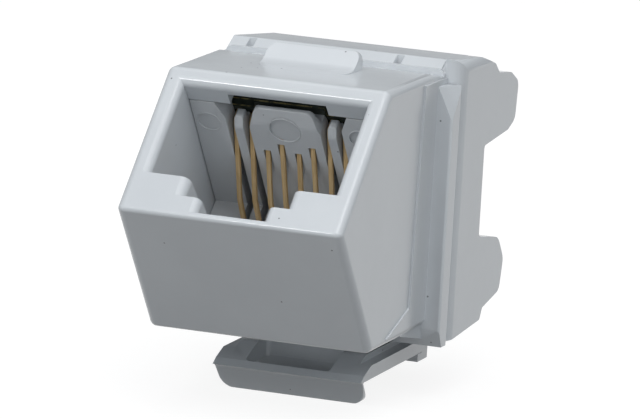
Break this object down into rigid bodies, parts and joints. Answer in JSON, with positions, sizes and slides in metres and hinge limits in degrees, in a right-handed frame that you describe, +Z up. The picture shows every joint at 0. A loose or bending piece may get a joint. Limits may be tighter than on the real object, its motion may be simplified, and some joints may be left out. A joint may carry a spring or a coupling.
{
  "type": "keystone jack",
  "caption": "Modular jack for a keystone panel opening, with an angled port in its nose, a sprung latch below and rows of wire towers behind.",
  "frame": {"origin": "middle of the panel opening, on the collar's front face where the panel's rear face seats", "axes": "+X across the port, +Y from the panel to the rear where the cable leaves, +Z up with the latch below"},
  "size_m": [0.0168, 0.0289, 0.0219],
  "materials": {
    "housing": "satin moulded plastic, light grey",
    "carrier": "moulded plastic, light grey",
    "board": "green lacquered board",
    "gold_contact": "gold-plated spring wire",
    "tin_contact": "tinned bronze blade"
  },
  "bodies": {
    "housing": {"front_housing": "housing", "rear_housing": "housing", "contact_carrier": "carrier", "port_board": "board", "main_board": "board", "wire_contact_1": "tin_contact", "wire_contact_2": "tin_contact", "wire_contact_3": "tin_contact", "wire_contact_4": "tin_contact", "wire_contact_5": "tin_contact", "wire_contact_6": "tin_contact", "wire_contact_7": "tin_contact", "wire_contact_8": "tin_contact"},
    "latch": {"latch": "housing"},
    "spring_contact_1": {"spring_contact_1": "gold_contact"},
    "spring_contact_2": {"spring_contact_2": "gold_contact"},
    "spring_contact_3": {"spring_contact_3": "gold_contact"},
    "spring_contact_4": {"spring_contact_4": "gold_contact"},
    "spring_contact_5": {"spring_contact_5": "gold_contact"},
    "spring_contact_6": {"spring_contact_6": "gold_contact"},
    "spring_contact_7": {"spring_contact_7": "gold_contact"},
    "spring_contact_8": {"spring_contact_8": "gold_contact"}
  },
  "joints": [
    {"name": "latch_hinge", "type": "hinge", "parent": "housing", "child": "latch", "pos_m": [0, 0.0073, -0.01052], "axis": [-1, 0, 0], "range_deg": [0, 5], "stiffness_Nm_per_rad": 0.6},
    {"name": "spring_1_flex", "type": "hinge", "parent": "housing", "child": "spring_contact_1", "pos_m": [0, -0.00536, 0.00543], "axis": [1, 0, 0], "range_deg": [0, 6], "stiffness_Nm_per_rad": 0.01},
    {"name": "spring_2_flex", "type": "hinge", "parent": "housing", "child": "spring_contact_2", "pos_m": [0, -0.00536, 0.00543], "axis": [1, 0, 0], "range_deg": [0, 6], "stiffness_Nm_per_rad": 0.01},
    {"name": "spring_3_flex", "type": "hinge", "parent": "housing", "child": "spring_contact_3", "pos_m": [0, -0.00475, 0.00483], "axis": [1, 0, 0], "range_deg": [0, 6], "stiffness_Nm_per_rad": 0.01},
    {"name": "spring_4_flex", "type": "hinge", "parent": "housing", "child": "spring_contact_4", "pos_m": [0, -0.00521, 0.00528], "axis": [1, 0, 0], "range_deg": [0, 6], "stiffness_Nm_per_rad": 0.01},
    {"name": "spring_5_flex", "type": "hinge", "parent": "housing", "child": "spring_contact_5", "pos_m": [0, -0.00475, 0.00483], "axis": [1, 0, 0], "range_deg": [0, 6], "stiffness_Nm_per_rad": 0.01},
    {"name": "spring_6_flex", "type": "hinge", "parent": "housing", "child": "spring_contact_6", "pos_m": [0, -0.00521, 0.00528], "axis": [1, 0, 0], "range_deg": [0, 6], "stiffness_Nm_per_rad": 0.01},
    {"name": "spring_7_flex", "type": "hinge", "parent": "housing", "child": "spring_contact_7", "pos_m": [0, -0.00536, 0.00543], "axis": [1, 0, 0], "range_deg": [0, 6], "stiffness_Nm_per_rad": 0.01},
    {"name": "spring_8_flex", "type": "hinge", "parent": "housing", "child": "spring_contact_8", "pos_m": [0, -0.00536, 0.00543], "axis": [1, 0, 0], "range_deg": [0, 6], "stiffness_Nm_per_rad": 0.01}
  ]
}
